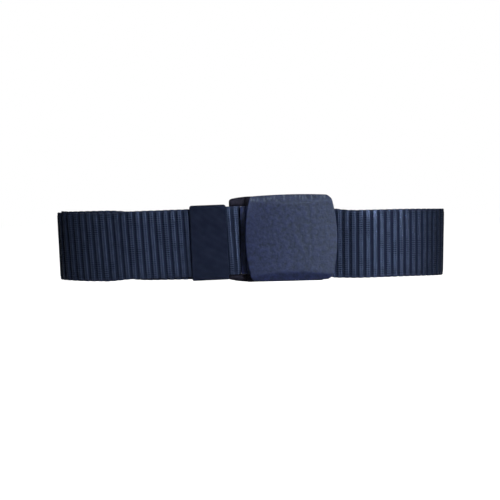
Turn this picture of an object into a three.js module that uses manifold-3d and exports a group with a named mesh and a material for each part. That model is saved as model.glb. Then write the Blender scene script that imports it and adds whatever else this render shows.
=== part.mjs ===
import * as THREE from 'three';
import { mergeVertices } from 'three/addons/utils/BufferGeometryUtils.js';
import Module from 'manifold-3d';

// A trouser belt of ribbed webbing, fastened by a flip-lever buckle and standing on its long edge.
// Millimetres. X runs along the front of the belt, Y from the front to the back, Z up.
// X = 0 is near the left end of the buckle, Y = 0 is the middle of the main band in front,
// and Z = 0 is the surface that the belt stands on. Angles are in degrees.

// Webbing
const strapWidth = 38;
const strapThickness = 1.8;
const layerGap = 0.35;
const ribPitch = 4.0;
const ribCrestWidth = 2.1;
const ribGrooveDepth = 0.35;
const halfThickness = strapThickness / 2;
const layerPitch = strapThickness + layerGap;

// The loop seen from above
const loopHalfWidthRight = 109.1;
const loopHalfWidthLeft = 105.5;
const waistGirth = 880;
const sideFlare = 6;
const shoulder = { radius: 170, turn: 30 };
const rightCorner = [{ radius: 61, turn: 45 }, { radius: 21, turn: 39 }];
const leftCorner = [{ radius: 13, turn: 53 }, { radius: 36, turn: 31 }];
const tailPastCorner = 98;
const sewnOverlap = 21;

// Buckle frame
const buckleHeight = 47.4;
const frameLeft = -12;
const frameRight = 40;
const frameBack = 1.3;
const frameFront = -8.3;
const leftArmFront = -4.8;
const lowArm = 4.0;
const highArm = 4.75;
const thinArm = 1.8;
const thinArmStart = 28.5;
const gripBar = { left: -12, right: -7.6, back: -1.25, front: -4.05 };
const endBar = { left: 34.6, right: 39, back: -1.2, front: -4.2 };
const floorPlate = { left: 1.6, right: thinArmStart, back: frameBack, front: -1.2 };
const armEdgeRadius = 25;

// Lever: the cover, its cam and its pins
const pivot = { x: -0.6, y: -6.0 };
const earRadius = 2.25;
const pinRadius = 1.0;
const pinHoleRadius = 1.3;
const pinHoleWall = 1.2;
const runningGap = 0.35;
const cover = {
  middleX: 22.4,
  low: 0.05,
  width: 51,
  height: 47.8,
  sideRadius: 92,
  edgeRadius: 450,
  leftCornerRadius: 1.8,
  rightCornerRadius: 4,
  back: -8.65,
  sideFace: -11.2,
  middleFace: -12.3,
  bevelEdge: -10.1,
  bevelSlope: 24,
};
const cam = { reach: 5.1, noseStart: 176, noseEnd: 163, bossRadius: 2.2, rootLeft: -1.7, rootRight: 4.2 };

// Keeper
const keeper = {
  left: -33.2, right: -13.7, wall: 1.0, cornerRadius: 1.6, edgeInset: 0.25, edgeWidth: 0.6,
};

const strapColour = 0x2c3a52;
const keeperColour = 0x1b2131;
const frameColour = 0x23232f;
const leverColour = 0x3a445d;

const radians = THREE.MathUtils.degToRad;
const wasm = await Module();
wasm.setup();

// A plan curve is a chain of stretches of constant curvature, each with a length and a turn.
function arc(radius, turn, name) {
  return { length: radius * radians(Math.abs(turn)), turn: radians(turn), name };
}

function straight(length, name) {
  return { length, turn: 0, name };
}

class PlanCurve {
  constructor(x, y, heading) {
    this.end = { x, y, heading: radians(heading) };
    this.length = 0;
    this.stretches = [];
  }

  add(...stretches) {
    for (const stretch of stretches) {
      const piece = { ...stretch, start: this.end, from: this.length };
      this.stretches.push(piece);
      this.length += piece.length;
      this.end = this.pointOn(piece, piece.length);
    }
  }

  pointOn(piece, along) {
    const { x, y, heading } = piece.start;
    const bend = piece.turn / piece.length;
    if (Math.abs(bend) < 1e-9) {
      return { x: x + along * Math.cos(heading), y: y + along * Math.sin(heading), heading };
    }
    const turned = heading + bend * along;
    return {
      x: x + (Math.sin(turned) - Math.sin(heading)) / bend,
      y: y - (Math.cos(turned) - Math.cos(heading)) / bend,
      heading: turned,
    };
  }

  at(s) {
    const inside = THREE.MathUtils.clamp(s, 0, this.length);
    const piece = this.stretches.findLast((each) => each.from <= inside) ?? this.stretches[0];
    return this.pointOn(piece, s - piece.from);
  }

  startOf(name) {
    return this.stretches.find((each) => each.name === name).from;
  }
}

// How far back a corner carries the strap, and how far across
function cornerSize(arcs, firstHeading) {
  let heading = radians(firstHeading);
  let depth = 0;
  let across = 0;
  for (const { radius, turn } of arcs) {
    const next = heading + radians(turn);
    depth += radius * (Math.cos(heading) - Math.cos(next));
    across += radius * (Math.sin(next) - Math.sin(heading));
    heading = next;
  }
  return { depth, across };
}

function turnsOf(arcs) {
  return arcs.reduce((sum, each) => sum + radians(each.turn) * each.radius, 0);
}

// The whole strap as one plan curve: sewn end, right side, back, left side, grip bar, tail
function strapPlan() {
  const sewnY = 0.05;
  const barMiddle = (endBar.back + endBar.front) / 2;
  const barRound = (endBar.back - endBar.front) / 2;
  const bendRadius = barRound + layerGap + halfThickness;
  const barLeft = endBar.left + barRound;
  const barFlat = endBar.right - endBar.left - 2 * barRound;
  const rightFront = sewnY - layerPitch;
  const dive = 30;
  const easeRadius = 12;
  const outerY = barMiddle - bendRadius;
  const diveTurns = (bendRadius + easeRadius) * (1 - Math.cos(radians(dive)));
  const diveLength = (rightFront - outerY - diveTurns) / Math.sin(radians(dive));

  const right = cornerSize(rightCorner, 0);
  const leftBack = cornerSize([...leftCorner].reverse(), 0);
  const chord = loopHalfWidthRight + loopHalfWidthLeft;
  const backTurn = 180 - 2 * sideFlare - 2 * shoulder.turn;
  const shoulderAcross = cornerSize([shoulder], sideFlare).depth;
  const backRadius = (chord / 2 - shoulderAcross) / Math.sin(radians(backTurn / 2));
  const cornerDifference = (right.depth + rightFront) - leftBack.depth;
  const fixedLength = turnsOf([...rightCorner, ...leftCorner, shoulder, shoulder])
    + backRadius * radians(backTurn)
    + loopHalfWidthRight - right.across + loopHalfWidthLeft - leftBack.across;
  const sideFactor = radians(2 * sideFlare) / (2 * Math.sin(radians(sideFlare)));
  const rightChord = ((waistGirth - fixedLength) / sideFactor - cornerDifference) / 2;
  const leftChord = rightChord + cornerDifference;
  const rightRadius = rightChord / (2 * Math.sin(radians(sideFlare)));
  const leftRadius = leftChord / (2 * Math.sin(radians(sideFlare)));

  const gripMiddle = (gripBar.back + gripBar.front) / 2;
  const gripRound = (gripBar.back - gripBar.front) / 2;
  const gripBend = -gripMiddle;
  const gripRight = gripBar.right - gripRound;
  const gripFlat = gripBar.right - gripBar.left - 2 * gripRound;
  const rise = 6.7;
  const riseEase = 30;
  const riseTurns = (gripBend + riseEase) * (1 - Math.cos(radians(rise)));
  const riseLength = (2 * gripBend - layerPitch - riseTurns) / Math.sin(radians(rise));

  const plan = new PlanCurve(barLeft + sewnOverlap, sewnY, 180);
  plan.add(
    straight(sewnOverlap, 'sewn end'),
    arc(bendRadius, 180, 'end bar'),
    straight(barFlat, 'end bar front'),
    arc(bendRadius, dive, 'end bar edge'),
    straight(diveLength, 'dive'),
    arc(easeRadius, -dive, 'dive ease'),
  );
  plan.add(
    straight(loopHalfWidthRight - right.across - plan.end.x, 'right front'),
    ...rightCorner.map(({ radius, turn }) => arc(radius, turn, 'right corner')),
    arc(rightRadius, 2 * sideFlare, 'right side'),
    arc(shoulder.radius, shoulder.turn, 'right shoulder'),
    arc(backRadius, backTurn, 'back'),
    arc(shoulder.radius, shoulder.turn, 'left shoulder'),
    arc(leftRadius, 2 * sideFlare, 'left side'),
    ...leftCorner.map(({ radius, turn }) => arc(radius, turn, 'left corner')),
  );
  plan.add(
    straight(gripRight - plan.end.x, 'left front'),
    arc(gripBend, -180, 'grip bar'),
    straight(gripFlat, 'grip bar front'),
    arc(gripBend, -rise, 'grip bar edge'),
    straight(riseLength, 'tail rise'),
    arc(riseEase, rise, 'tail ease'),
  );
  plan.add(
    straight(plan.end.x + loopHalfWidthLeft - leftBack.across, 'tail front'),
    ...[...leftCorner].reverse().map(({ radius, turn }) => arc(radius + layerPitch, -turn, 'tail corner')),
    { length: tailPastCorner, turn: -tailPastCorner / (leftRadius + layerPitch), name: 'tail side' },
  );
  return plan;
}

// Height of the low edge above the surface, lean of the strap outwards and slant of its ribs,
// at the start of each named stretch or a share of the way along it
const strapRows = [
  { place: 'sewn end', share: 0, low: 0.6, lean: 0, slant: 0 },
  { place: 'sewn end', share: 0.8, low: 2.2, lean: 0, slant: 0 },
  { place: 'dive ease', share: 0, low: 2.2, lean: 0, slant: 0 },
  { place: 'right front', share: 0, low: 0.8, lean: 0, slant: 0.6 },
  { place: 'right corner', share: 0, low: 0.3, lean: 0, slant: 1 },
  { place: 'right side', share: 0, low: 0, lean: 2.2, slant: 0.6 },
  { place: 'right shoulder', share: 0, low: 0, lean: 1.8, slant: 0 },
  { place: 'back', share: 0.5, low: 0, lean: 0.6, slant: 0 },
  { place: 'left side', share: 0, low: 0, lean: 1.5, slant: 0 },
  { place: 'left side', share: 0.3, low: 0.4, lean: 1.8, slant: 0 },
  { place: 'left corner', share: 0, low: 3.2, lean: 1.8, slant: 0 },
  { place: 'left front', share: 0, low: 3.3, lean: 0, slant: 0 },
  { place: 'left front', share: 0.62, low: 2.4, lean: 0, slant: 0 },
  { place: 'grip bar', share: 0, low: 4.3, lean: 0, slant: 0 },
  { place: 'grip bar edge', share: 0, low: 4.3, lean: 0, slant: 1.5 },
  { place: 'tail front', share: 0, low: 2.9, lean: 0, slant: 3 },
  { place: 'tail corner', share: 0, low: 1.9, lean: 0, slant: 3.6 },
  { place: 'tail side', share: 0, low: 2.8, lean: -1.8, slant: 3 },
  { place: 'tail side', share: 1, low: 2.2, lean: -1.8, slant: 1 },
];

// The value of one column of the rows at a length along the plan, eased between rows
function rowValue(rows, column, s) {
  const next = rows.findIndex((row) => row.along > s);
  if (next === 0) return rows[0][column];
  if (next === -1) return rows[rows.length - 1][column];
  const before = rows[next - 1];
  const after = rows[next];
  const share = THREE.MathUtils.smoothstep(s, before.along, after.along);
  return THREE.MathUtils.lerp(before[column], after[column], share);
}

// Lengths along the plan where the strap has a cross-section, each with its half thickness.
// Tight bends are smooth and finely divided, the rest has a groove after each rib crest.
function strapStations(plan) {
  const tightRadius = 8;
  const bendStep = radians(18);
  const clearance = 0.5;
  const stations = [];
  for (const piece of plan.stretches) {
    const radius = piece.turn ? piece.length / Math.abs(piece.turn) : Infinity;
    if (radius < tightRadius) {
      const steps = Math.ceil(Math.abs(piece.turn) / bendStep);
      for (let step = 0; step <= steps; step += 1) {
        stations.push({ s: piece.from + (piece.length * step) / steps, half: halfThickness });
      }
    }
  }
  const bends = stations.map((station) => station.s);
  const ribCount = Math.floor(plan.length / ribPitch);
  for (let rib = 0; rib < ribCount; rib += 1) {
    const crest = rib * ribPitch;
    const groove = crest + (ribPitch + ribCrestWidth) / 2;
    stations.push({ s: crest, half: halfThickness, rib: true });
    stations.push({ s: crest + ribCrestWidth, half: halfThickness, rib: true });
    stations.push({ s: groove, half: halfThickness - ribGrooveDepth, rib: true });
  }
  stations.push({ s: plan.length, half: halfThickness });
  const lastOfBend = (s) => bends.some((each) => Math.abs(each - s) < clearance);
  return stations
    .filter((station) => !station.rib || !lastOfBend(station.s))
    .sort((a, b) => a.s - b.s);
}

function solidFrom(positions, triangles) {
  const geometry = new THREE.BufferGeometry();
  geometry.setAttribute('position', new THREE.Float32BufferAttribute(positions.flat(), 3));
  geometry.setIndex(triangles.flat());
  return geometry;
}

// A closed skin over rings of equal size, which share one order of points
function skinRings(rings, closedEnds) {
  const size = rings[0].length;
  const triangles = [];
  for (let ring = 0; ring + 1 < rings.length; ring += 1) {
    for (let corner = 0; corner < size; corner += 1) {
      const a = ring * size + corner;
      const b = ring * size + ((corner + 1) % size);
      triangles.push([a, b, b + size], [a, b + size, a + size]);
    }
  }
  if (closedEnds) {
    const last = (rings.length - 1) * size;
    for (let corner = 1; corner + 1 < size; corner += 1) {
      triangles.push([0, corner + 1, corner], [last, last + corner, last + corner + 1]);
    }
  }
  return solidFrom(rings.flat(), triangles);
}

function webbingStrap(plan) {
  const rows = strapRows.map((row) => {
    const pieces = plan.stretches.filter((each) => each.name === row.place);
    return { ...row, along: pieces[0].from + row.share * pieces[0].length };
  });
  const edgePoint = (s, height, side) => {
    const slant = Math.tan(radians(rowValue(rows, 'slant', s)));
    const along = s + slant * (height - strapWidth / 2);
    const { x, y, heading } = plan.at(along);
    const lean = height * Math.tan(radians(rowValue(rows, 'lean', along)));
    const offset = lean + side;
    return [
      x + offset * Math.sin(heading),
      y - offset * Math.cos(heading),
      rowValue(rows, 'low', along) + height,
    ];
  };
  const rings = strapStations(plan).map(({ s, half }) => [
    edgePoint(s, 0, half),
    edgePoint(s, 0, -half),
    edgePoint(s, strapWidth, -half),
    edgePoint(s, strapWidth, half),
  ]);
  return skinRings(rings, true);
}

function makeMesh(name, geometry, colour, roughness) {
  const smooth = geometry.index ? geometry : mergeVertices(geometry);
  smooth.computeVertexNormals();
  const material = new THREE.MeshStandardMaterial({ color: colour, roughness, metalness: 0 });
  const mesh = new THREE.Mesh(smooth, material);
  mesh.name = name;
  return mesh;
}

// The plan's Y where the curve crosses a given X, between two lengths along it
function planYAtX(plan, x, fromS, toS) {
  let low = fromS;
  let high = toS;
  const rising = plan.at(toS).x > plan.at(fromS).x;
  for (let step = 0; step < 40; step += 1) {
    const middle = (low + high) / 2;
    if ((plan.at(middle).x < x) === rising) low = middle;
    else high = middle;
  }
  return plan.at(low).y;
}

// A round-cornered ring in the YZ plane, given by its four sides
function ringSection(x, sides, radius) {
  const cornerSteps = 4;
  const corners = [
    { y: sides.front + radius, z: sides.low + radius, start: 180 },
    { y: sides.back - radius, z: sides.low + radius, start: 270 },
    { y: sides.back - radius, z: sides.high - radius, start: 0 },
    { y: sides.front + radius, z: sides.high - radius, start: 90 },
  ];
  const points = [];
  for (const { y, z, start } of corners) {
    for (let step = 0; step <= cornerSteps; step += 1) {
      const angle = radians(start + (90 * step) / cornerSteps);
      points.push([x, y + radius * Math.cos(angle), z + radius * Math.sin(angle)]);
    }
  }
  return points;
}

// Inner low and high sides of the keeper, which sits a little higher at its buckle end
const keeperRows = [
  { x: keeper.left, low: 2.05, high: 41.8 },
  { x: keeper.right, low: 2.2, high: 42.6 },
];

function keeperLoop(plan) {
  const tailFrom = plan.startOf('grip bar edge');
  const tailTo = plan.startOf('tail corner');
  const halfBand = halfThickness + layerGap;
  const stations = [
    { x: keeper.left, inset: keeper.edgeInset },
    { x: keeper.left + keeper.edgeWidth, inset: 0 },
    { x: (2 * keeper.left + keeper.right) / 3, inset: 0 },
    { x: (keeper.left + 2 * keeper.right) / 3, inset: 0 },
    { x: keeper.right - keeper.edgeWidth, inset: 0 },
    { x: keeper.right, inset: keeper.edgeInset },
  ];
  const innerSides = (x) => {
    const share = (x - keeper.left) / (keeper.right - keeper.left);
    return {
      front: planYAtX(plan, x, tailFrom, tailTo) - halfBand,
      back: halfBand,
      low: THREE.MathUtils.lerp(keeperRows[0].low, keeperRows[1].low, share),
      high: THREE.MathUtils.lerp(keeperRows[0].high, keeperRows[1].high, share),
    };
  };
  const grow = (sides, by) => ({
    front: sides.front - by,
    back: sides.back + by,
    low: sides.low - by,
    high: sides.high + by,
  });
  const outside = stations.map(({ x, inset }) => (
    ringSection(x, grow(innerSides(x), keeper.wall - inset), keeper.cornerRadius)
  ));
  const inside = stations.map(({ x }) => (
    ringSection(x, innerSides(x), keeper.cornerRadius - keeper.wall)
  ));
  const around = [...outside, ...inside.reverse(), outside[0]];
  return mergeVertices(skinRings(around, false), 1e-4);
}

function toManifold(geometry) {
  const bare = geometry.clone();
  bare.deleteAttribute('normal');
  bare.deleteAttribute('uv');
  const merged = mergeVertices(bare, 1e-4);
  return new wasm.Manifold(new wasm.Mesh({
    numProp: 3,
    vertProperties: new Float32Array(merged.attributes.position.array),
    triVerts: new Uint32Array(merged.index.array),
  }));
}

function fromManifold(solid) {
  const { vertProperties, triVerts } = solid.getMesh();
  const geometry = new THREE.BufferGeometry();
  geometry.setAttribute('position', new THREE.BufferAttribute(vertProperties, 3));
  geometry.setIndex(new THREE.BufferAttribute(triVerts, 1));
  return geometry;
}

// A solid of a plan outline (X, Y), standing from one height to another
function standing(shape, low, high, curveSegments = 12) {
  const geometry = new THREE.ExtrudeGeometry(shape, {
    depth: high - low, bevelEnabled: false, curveSegments,
  });
  geometry.translate(0, 0, low);
  return toManifold(geometry);
}

// A solid of a front outline (X, Z), reaching from a front Y to a back Y
function facing(shape, front, back, curveSegments = 12) {
  const geometry = new THREE.ExtrudeGeometry(shape, {
    depth: back - front, bevelEnabled: false, curveSegments,
  });
  geometry.rotateX(Math.PI / 2);
  geometry.translate(0, back, 0);
  return toManifold(geometry);
}

function rectangle(left, right, low, high) {
  const shape = new THREE.Shape();
  shape.moveTo(left, low);
  shape.lineTo(right, low);
  shape.lineTo(right, high);
  shape.lineTo(left, high);
  shape.closePath();
  return shape;
}

// A flat bar with half-round long edges, as a plan outline
function roundBar({ left, right, back, front }) {
  const radius = (back - front) / 2;
  const middle = (back + front) / 2;
  const shape = new THREE.Shape();
  shape.moveTo(left + radius, front);
  shape.lineTo(right - radius, front);
  shape.absarc(right - radius, middle, radius, -Math.PI / 2, Math.PI / 2, false);
  shape.lineTo(left + radius, back);
  shape.absarc(left + radius, middle, radius, Math.PI / 2, 1.5 * Math.PI, false);
  return shape;
}

function disc(x, y, radius) {
  const shape = new THREE.Shape();
  shape.absarc(x, y, radius, 0, 2 * Math.PI, false);
  return shape;
}

// The frame's front outline: its left end falls away in a long arc before a small corner
function frameOutline() {
  const fallStart = -2.8;
  const leftCornerRadius = 2.2;
  const rightCornerRadius = 1.8;
  const fallLength = fallStart - frameLeft - leftCornerRadius;
  const drop = armEdgeRadius - Math.sqrt(armEdgeRadius ** 2 - fallLength ** 2);
  const fallAngle = Math.asin(fallLength / armEdgeRadius);
  const shape = new THREE.Shape();
  shape.moveTo(fallStart, 0);
  shape.lineTo(frameRight - rightCornerRadius, 0);
  shape.absarc(frameRight - rightCornerRadius, rightCornerRadius, rightCornerRadius, -Math.PI / 2, 0, false);
  shape.lineTo(frameRight, buckleHeight - rightCornerRadius);
  shape.absarc(
    frameRight - rightCornerRadius, buckleHeight - rightCornerRadius, rightCornerRadius,
    0, Math.PI / 2, false,
  );
  shape.lineTo(fallStart, buckleHeight);
  shape.absarc(
    fallStart, buckleHeight - armEdgeRadius, armEdgeRadius,
    Math.PI / 2, Math.PI / 2 + fallAngle, false,
  );
  shape.quadraticCurveTo(frameLeft, buckleHeight - drop, frameLeft, buckleHeight - drop - leftCornerRadius);
  shape.lineTo(frameLeft, drop + leftCornerRadius);
  shape.quadraticCurveTo(frameLeft, drop, frameLeft + leftCornerRadius, drop);
  shape.absarc(fallStart, armEdgeRadius, armEdgeRadius, 1.5 * Math.PI - fallAngle, 1.5 * Math.PI, false);
  return shape;
}

// The side of an arm: low beside the webbing, an ear round the pivot, then full depth
function armProfile() {
  const footRadius = 1.2;
  const headRadius = 1.5;
  const earEase = 0.5;
  const earFoot = Math.asin((leftArmFront - pivot.y) / earRadius);
  const shape = new THREE.Shape();
  shape.moveTo(frameLeft, frameBack - footRadius);
  shape.absarc(frameLeft + footRadius, frameBack - footRadius, footRadius, Math.PI, Math.PI / 2, true);
  shape.lineTo(frameRight, frameBack);
  shape.lineTo(frameRight, frameFront + headRadius);
  shape.absarc(frameRight - headRadius, frameFront + headRadius, headRadius, 0, -Math.PI / 2, true);
  shape.lineTo(pivot.x + earEase, frameFront);
  shape.absarc(pivot.x, pivot.y, earRadius, -Math.PI / 2, -Math.PI - earFoot, true);
  shape.lineTo(frameLeft + headRadius, leftArmFront);
  shape.absarc(frameLeft + headRadius, leftArmFront + headRadius, headRadius, -Math.PI / 2, -Math.PI, true);
  return shape;
}

function buckleFrame() {
  const barInset = 1.0;
  const top = buckleHeight;
  const front = frameFront - 1;
  const back = frameBack + 1;
  const outline = facing(frameOutline(), front, back, 8);
  const sides = standing(armProfile(), -1, top + 1, 6);
  const wideWindow = facing(
    rectangle(frameLeft - 1, thinArmStart, lowArm, top - highArm), front - 1, back + 1,
  );
  const endWindow = facing(
    rectangle(thinArmStart - 1, frameRight + 1, thinArm, top - thinArm), front - 1, back + 1,
  );
  let frame = outline.intersect(sides).subtract(wideWindow).subtract(endWindow);
  const plate = rectangle(floorPlate.left, floorPlate.right, floorPlate.front, floorPlate.back);
  frame = frame
    .add(standing(roundBar(gripBar), lowArm - barInset, top - highArm + barInset, 6))
    .add(standing(roundBar(endBar), barInset, top - barInset, 6))
    .add(standing(plate, lowArm - barInset, top - highArm + barInset));
  const hole = disc(pivot.x, pivot.y, pinHoleRadius);
  return frame
    .subtract(standing(hole, pinHoleWall, lowArm + 1, 8))
    .subtract(standing(hole, top - highArm - 1, top - pinHoleWall, 8));
}

// The point at given distances from two centres, on the side of larger x and y
function meetOfCircles(first, firstRadius, second, secondRadius) {
  const dx = second.x - first.x;
  const dy = second.y - first.y;
  const apart = Math.hypot(dx, dy);
  const along = (firstRadius ** 2 - secondRadius ** 2 + apart ** 2) / (2 * apart);
  const aside = Math.sqrt(firstRadius ** 2 - along ** 2);
  const options = [1, -1].map((sign) => ({
    x: first.x + (along * dx - sign * aside * dy) / apart,
    y: first.y + (along * dy + sign * aside * dx) / apart,
  }));
  return options.find((point) => point.x > 0 && point.y > 0);
}

// A quarter of the cover's outline about its middle: a shallow side arc, a rounded corner
// and half of a shallow edge arc
function coverQuarter(cornerRadius) {
  const sideCentre = { x: cover.width / 2 - cover.sideRadius, y: 0 };
  const edgeCentre = { x: 0, y: cover.height / 2 - cover.edgeRadius };
  const corner = meetOfCircles(
    sideCentre, cover.sideRadius - cornerRadius,
    edgeCentre, cover.edgeRadius - cornerRadius,
  );
  const sideAngle = Math.atan2(corner.y - sideCentre.y, corner.x - sideCentre.x);
  const edgeAngle = Math.atan2(corner.y - edgeCentre.y, corner.x - edgeCentre.x);
  const quarter = [];
  const sideSteps = 6;
  const cornerSteps = 5;
  const edgeSteps = 5;
  for (let step = 0; step < sideSteps; step += 1) {
    const angle = (sideAngle * step) / sideSteps;
    quarter.push([
      sideCentre.x + cover.sideRadius * Math.cos(angle),
      cover.sideRadius * Math.sin(angle),
    ]);
  }
  for (let step = 0; step <= cornerSteps; step += 1) {
    const angle = THREE.MathUtils.lerp(sideAngle, edgeAngle, step / cornerSteps);
    quarter.push([
      corner.x + cornerRadius * Math.cos(angle),
      corner.y + cornerRadius * Math.sin(angle),
    ]);
  }
  for (let step = 1; step <= edgeSteps; step += 1) {
    const angle = THREE.MathUtils.lerp(edgeAngle, Math.PI / 2, step / edgeSteps);
    quarter.push([
      cover.edgeRadius * Math.cos(angle),
      edgeCentre.y + cover.edgeRadius * Math.sin(angle),
    ]);
  }
  return quarter;
}

// The cover's front outline, from its right middle round by the top
function coverOutline() {
  const right = coverQuarter(cover.rightCornerRadius);
  const left = coverQuarter(cover.leftCornerRadius).map(([x, z]) => [-x, z]);
  const half = [...right, ...left.reverse().slice(1)];
  const lower = half.slice(1, -1).reverse().map(([x, z]) => [x, -z]);
  const middleZ = cover.low + cover.height / 2;
  const points = [...half, ...lower].map(([x, z]) => new THREE.Vector2(x + cover.middleX, z + middleZ));
  return new THREE.Shape(points);
}

// The cover: its outline, bulged in the middle and cut by a flat bevel along both long edges
function leverCover() {
  const reach = 30;
  const half = cover.width / 2;
  const crown = cover.sideFace - cover.middleFace;
  const crownRadius = (half ** 2 + crown ** 2) / (2 * crown);
  const crownAngle = Math.asin(half / crownRadius);
  const bulge = new THREE.Shape();
  bulge.moveTo(cover.middleX + half, cover.back);
  bulge.lineTo(cover.middleX - half, cover.back);
  bulge.absarc(
    cover.middleX, cover.middleFace + crownRadius, crownRadius,
    -Math.PI / 2 - crownAngle, -Math.PI / 2 + crownAngle, false,
  );
  const plate = facing(coverOutline(), cover.middleFace - 1, cover.back)
    .intersect(standing(bulge, -1, buckleHeight + 1, 12));
  const slope = radians(cover.bevelSlope);
  const bevel = (edge, sign) => {
    const box = new THREE.BoxGeometry(2 * cover.width, reach, reach);
    box.translate(0, -reach / 2, -sign * reach / 2);
    box.rotateX(sign * (Math.PI / 2 - slope) + (sign > 0 ? -Math.PI / 2 : Math.PI / 2));
    box.translate(cover.middleX, cover.bevelEdge, edge);
    return toManifold(box);
  };
  return plate
    .subtract(bevel(cover.low + cover.height, 1))
    .subtract(bevel(cover.low, -1));
}

// The cam under the cover, as a plan outline about the pivot
function camOutline() {
  const sink = 0.4;
  const throat = [-2.9, -0.7];
  const plateBack = cover.back - pivot.y - sink;
  const onCircle = (radius, angle) => [
    radius * Math.cos(radians(angle)),
    radius * Math.sin(radians(angle)),
  ];
  const noseAngles = [cam.noseEnd, (cam.noseStart + cam.noseEnd) / 2, cam.noseStart];
  const points = [
    [cam.rootRight, plateBack],
    ...[0, 30, 60, 90, 120].map((angle) => onCircle(cam.bossRadius, angle)),
    ...noseAngles.map((angle) => onCircle(cam.reach, angle)),
    throat,
    [cam.rootLeft, plateBack],
  ];
  return new THREE.Shape(points.map(([x, y]) => new THREE.Vector2(x + pivot.x, y + pivot.y)));
}

function buckleLever() {
  const low = lowArm + runningGap;
  const high = buckleHeight - highArm - runningGap;
  const pinLow = pinHoleWall + runningGap;
  const pin = disc(pivot.x, pivot.y, pinRadius);
  return leverCover()
    .add(standing(camOutline(), low, high))
    .add(standing(pin, pinLow, buckleHeight - pinLow, 8));
}

const plan = strapPlan();
const belt = new THREE.Group();
belt.add(
  makeMesh('webbing_strap', webbingStrap(plan), strapColour, 0.8),
  makeMesh('keeper_loop', keeperLoop(plan), keeperColour, 0.9),
  makeMesh('buckle_frame', fromManifold(buckleFrame()), frameColour, 0.6),
  makeMesh('buckle_lever', fromManifold(buckleLever()), leverColour, 0.55),
);

// The belt's own frame has its origin under the middle of its bounding box
const box = new THREE.Box3().setFromObject(belt);
belt.position.set(-(box.min.x + box.max.x) / 2, -(box.min.y + box.max.y) / 2, -box.min.z);

export default belt;
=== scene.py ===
import math
import random

import bmesh
import bpy
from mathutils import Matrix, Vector


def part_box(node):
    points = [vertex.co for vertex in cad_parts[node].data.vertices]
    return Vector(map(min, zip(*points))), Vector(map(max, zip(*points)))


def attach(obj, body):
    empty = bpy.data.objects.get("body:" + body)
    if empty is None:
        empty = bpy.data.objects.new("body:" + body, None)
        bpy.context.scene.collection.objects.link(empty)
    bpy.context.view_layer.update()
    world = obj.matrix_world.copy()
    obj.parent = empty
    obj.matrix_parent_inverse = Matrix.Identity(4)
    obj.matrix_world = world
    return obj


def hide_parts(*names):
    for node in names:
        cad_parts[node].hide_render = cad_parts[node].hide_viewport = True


# A trouser belt: ribbed webbing, a woven keeper and a flip-lever buckle, standing on its edge.
# Lengths are millimetres in the buckle's own axes and become metres in toScene: X along the
# front, Y to the back, Z up, X = 0 beside the lever's pins, Y = 0 inside the main band on the
# buckle's left. Angles are degrees.
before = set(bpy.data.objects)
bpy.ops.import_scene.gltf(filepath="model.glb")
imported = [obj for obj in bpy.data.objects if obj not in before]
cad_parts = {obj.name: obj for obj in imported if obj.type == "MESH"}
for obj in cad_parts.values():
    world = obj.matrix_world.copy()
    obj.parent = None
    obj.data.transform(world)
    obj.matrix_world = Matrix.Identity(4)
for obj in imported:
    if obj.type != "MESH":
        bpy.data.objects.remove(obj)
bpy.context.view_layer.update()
frameLow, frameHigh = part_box("buckle_frame")
print("frame loaded")

mm = 0.001

buckle = {
    "height": 47.4,
    "left": -12.0,
    "right": 40.0,
    "back": 1.3,
    "front": -8.3,
    "leftArmFront": -4.8,
    "lowArm": 4.4,
    "lowArmExtra": 1.2,
    "highArm": 5.35,
    "thinArm": 1.8,
    "thinArmStart": 28.5,
    "edgeRound": 0.45,
    "slotRound": 1.6,
    "outerRound": 1.9,
    "armRounds": (1.8, 1.2, 1.5),  # right end, left foot, front of both ends
    "fallStart": -1.0,  # from here the arms' outer edges fall off to the left
    "fallRadius": 44.0,
    "highArmCorner": 1.9,
    "lowArmCorner": 1.3,
    "barSunk": 1.0,  # how far the bars and the plate go into the arms
    "plate": {"left": 1.6, "right": 28.5, "front": -1.2, "back": 1.3, "edge": 0.3},
    "pivotX": -0.6,
    "pivotY": -6.0,
    "earRadius": 2.25,
    "pinRadius": 1.0,
    "pinHoleRadius": 1.3,
    "pinHoleWall": 1.2,
    "pinHolePast": (1.0, 0.8),  # how far the holes run past the low and the high arm
}

shiftX = frameLow.x / mm - buckle["left"]
shiftY = frameHigh.y / mm - buckle["back"]


def toScene(x, y, z):
    return Vector(((x + shiftX) * mm, (y + shiftY) * mm, z * mm))


def smoothStep(value, low, high):
    share = min(max((value - low) / (high - low), 0), 1)
    return share * share * (3 - 2 * share)


def mix(a, b, share):
    return a + (b - a) * share


# Camera: as high as the strap's top edge and a little tilted, as the photograph was taken
view = {
    "distance": 950.0,
    "frontY": -3.0,
    "x": -0.28,
    "height": 39.0,
    "aimZ": 17.6,
    "rollDegrees": 1.42,
    "fieldWidth": 278.5,
}


def addCamera():
    camera = bpy.data.cameras.new("camera")
    camera.sensor_width = 36
    camera.lens = camera.sensor_width * view["distance"] / view["fieldWidth"]
    camera.clip_start = 0.01
    camera.clip_end = 50
    eye = bpy.data.objects.new("camera", camera)
    bpy.context.scene.collection.objects.link(eye)
    eye.location = toScene(view["x"], view["frontY"] - view["distance"], view["height"])
    down = math.atan2(view["height"] - view["aimZ"], view["distance"])
    eye.rotation_euler = (math.pi / 2 - down, math.radians(view["rollDegrees"]), 0)
    bpy.context.scene.camera = eye


addCamera()
bpy.context.scene.view_settings.view_transform = "Standard"
bpy.context.scene.view_settings.look = "None"
print("camera placed")


# Material helpers
def newMaterial(name):
    material = bpy.data.materials.new(name)
    material.use_nodes = True
    tree = material.node_tree
    return material, tree, tree.nodes["Principled BSDF"]


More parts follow.
